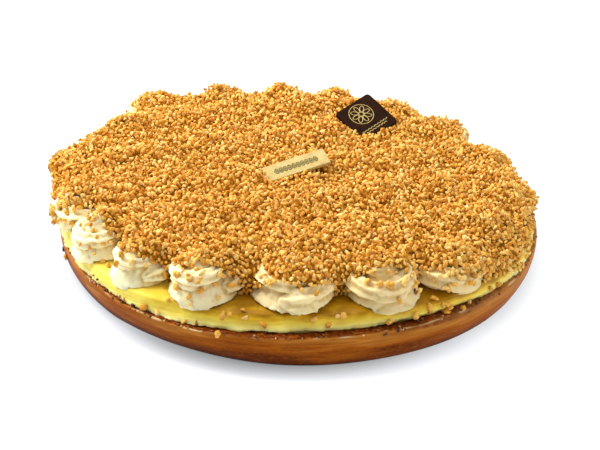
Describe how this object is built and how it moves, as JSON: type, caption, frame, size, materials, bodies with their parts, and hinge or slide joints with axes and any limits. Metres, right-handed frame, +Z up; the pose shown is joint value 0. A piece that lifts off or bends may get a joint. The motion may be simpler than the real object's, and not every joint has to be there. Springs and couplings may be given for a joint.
{
  "type": "cream tart",
  "caption": "Round cream tart: a baked pastry case with yellow pastry cream, a ring of piped cream rosettes, a heap of caramelised chopped nuts and two chocolate plaques.",
  "frame": {"origin": "under the middle of the whole tart, on the surface that it stands on", "axes": "+Z up, -Y is the front that the picture shows, +X to the right of it"},
  "size_m": [0.2852, 0.2802, 0.0586],
  "materials": {
    "pastry": "baked, satin",
    "pastry_cream": "smooth, moist",
    "whipped_cream": "soft satin",
    "caramelised_nuts": "glossy grains",
    "white_chocolate": "satin",
    "dark_chocolate": "satin"
  },
  "bodies": {
    "root": {"crust": "pastry", "pastry_cream": "pastry_cream", "cream_rosette_01": "whipped_cream", "cream_rosette_02": "whipped_cream", "cream_rosette_03": "whipped_cream", "cream_rosette_04": "whipped_cream", "cream_rosette_05": "whipped_cream", "cream_rosette_06": "whipped_cream", "cream_rosette_07": "whipped_cream", "cream_rosette_08": "whipped_cream", "cream_rosette_09": "whipped_cream", "cream_rosette_10": "whipped_cream", "cream_rosette_11": "whipped_cream", "cream_rosette_12": "whipped_cream", "cream_rosette_13": "whipped_cream", "cream_rosette_14": "whipped_cream", "cream_rosette_15": "whipped_cream", "cream_rosette_16": "whipped_cream", "cream_rosette_17": "whipped_cream", "cream_rosette_18": "whipped_cream", "nut_layer": "caramelised_nuts", "white_chocolate_plaque": "white_chocolate", "dark_chocolate_plaque": "dark_chocolate"}
  },
  "joints": []
}
